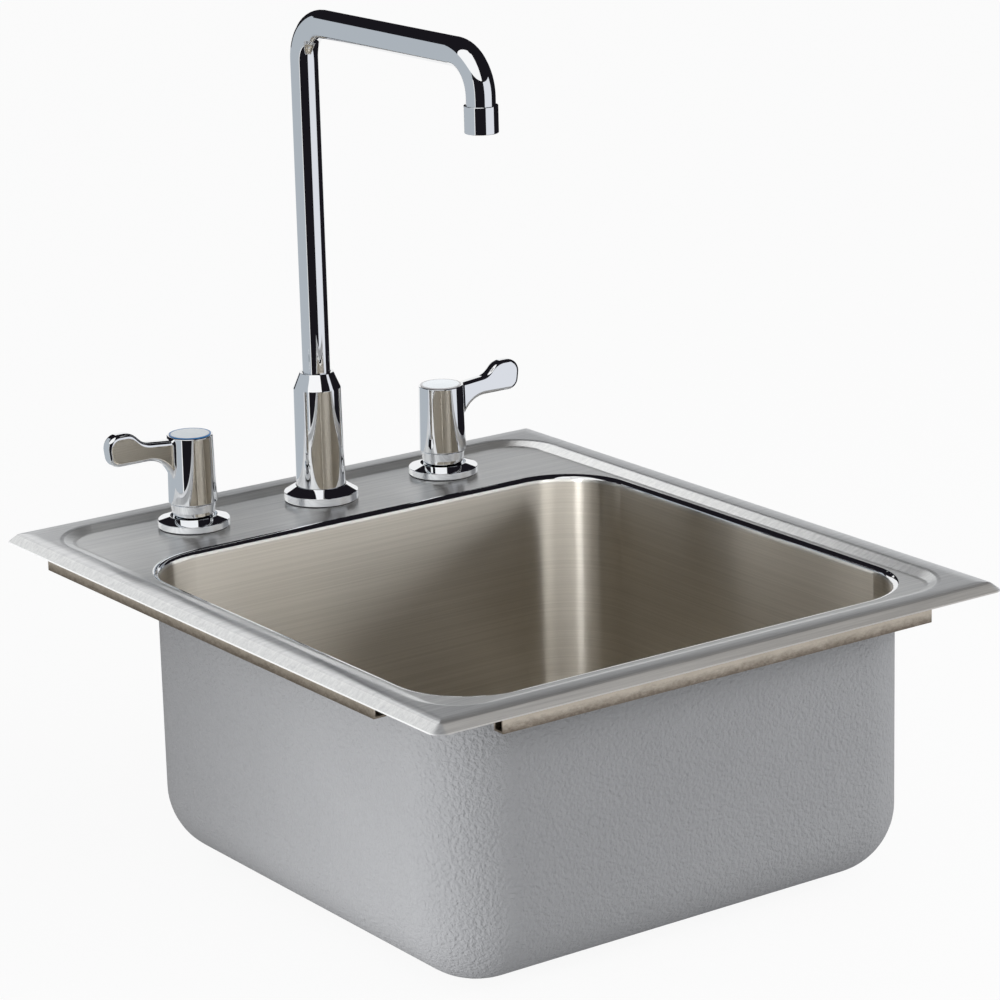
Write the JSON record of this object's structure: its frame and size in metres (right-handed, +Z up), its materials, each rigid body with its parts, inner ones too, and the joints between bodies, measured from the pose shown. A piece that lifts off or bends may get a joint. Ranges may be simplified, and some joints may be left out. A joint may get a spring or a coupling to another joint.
{
  "type": "top-mount sink",
  "caption": "Top-mount stainless sink with a recessed faucet deck, a swinging arch spout and lever valves for cold and hot water.",
  "frame": {"origin": "centre of the rim's seat, on the worktop's surface", "axes": "+X to the right seen from the front, +Y to the back with the faucet, +Z up"},
  "size_m": [0.4318, 0.508, 0.5346],
  "materials": {
    "sink_steel": "satin brushed stainless sheet, polished at the bowl's lip",
    "sound_coat": "sprayed pebbled coat",
    "rail_steel": "mill-finish steel strip",
    "chrome": "mirror plated",
    "brass": "turned brass",
    "copper": "drawn copper pipe",
    "zinc_steel": "zinc plated",
    "rubber": "moulded black rubber",
    "acetal": "white bearing plastic",
    "ceramic": "lapped ceramic",
    "index_plate": "satin plated index disc",
    "cold_mark": "blue index ring",
    "hot_mark": "pale index ring"
  },
  "bodies": {
    "sink": {"sink_shell": "sink_steel", "sound_coat": "sound_coat", "rail_left": "rail_steel", "rail_right": "rail_steel", "rail_front": "rail_steel", "rail_back": "rail_steel", "spout_post": "chrome", "spout_deck_gasket": "rubber", "spout_flange": "chrome", "spout_shank": "brass", "spout_clamp_seal": "rubber", "spout_clamp_washer": "zinc_steel", "spout_lock_nut": "brass", "swivel_bushing": "acetal", "mixing_tee": "brass", "cold_deck_gasket": "rubber", "cold_flange": "chrome", "cold_valve_body": "brass", "cold_clamp_seal": "rubber", "cold_clamp_washer": "zinc_steel", "cold_lock_nut": "brass", "cold_bonnet": "chrome", "cold_cartridge": "brass", "cold_fixed_disc": "ceramic", "cold_crossover_pipe": "copper", "cold_union_nuts": "brass", "hot_deck_gasket": "rubber", "hot_flange": "chrome", "hot_valve_body": "brass", "hot_clamp_seal": "rubber", "hot_clamp_washer": "zinc_steel", "hot_lock_nut": "brass", "hot_bonnet": "chrome", "hot_cartridge": "brass", "hot_fixed_disc": "ceramic", "hot_crossover_pipe": "copper", "hot_union_nuts": "brass"},
    "spout": {"spout_tube": "chrome", "swivel_spigot": "brass", "swivel_seals": "rubber", "aerator_collar": "chrome", "aerator_washer": "rubber", "aerator_jet_plate": "acetal"},
    "cold_lever": {"cold_handle": "chrome", "cold_stem": "brass", "cold_turning_disc": "ceramic", "cold_handle_screw": "zinc_steel", "cold_index_disc": "index_plate", "cold_index_ring": "cold_mark"},
    "hot_lever": {"hot_handle": "chrome", "hot_stem": "brass", "hot_turning_disc": "ceramic", "hot_handle_screw": "zinc_steel", "hot_index_disc": "index_plate", "hot_index_ring": "hot_mark"}
  },
  "joints": [
    {"name": "spout_swivel", "type": "hinge", "parent": "sink", "child": "spout", "pos_m": [0, 0.198, 0.05], "axis": [0, 0, 1], "continuous": true},
    {"name": "cold_lever_turn", "type": "hinge", "parent": "sink", "child": "cold_lever", "pos_m": [-0.1016, 0.198, 0.03], "axis": [0, 0, 1], "range_deg": [0, 90]},
    {"name": "hot_lever_turn", "type": "hinge", "parent": "sink", "child": "hot_lever", "pos_m": [0.1016, 0.198, 0.03], "axis": [0, 0, 1], "range_deg": [-90, 0]}
  ]
}
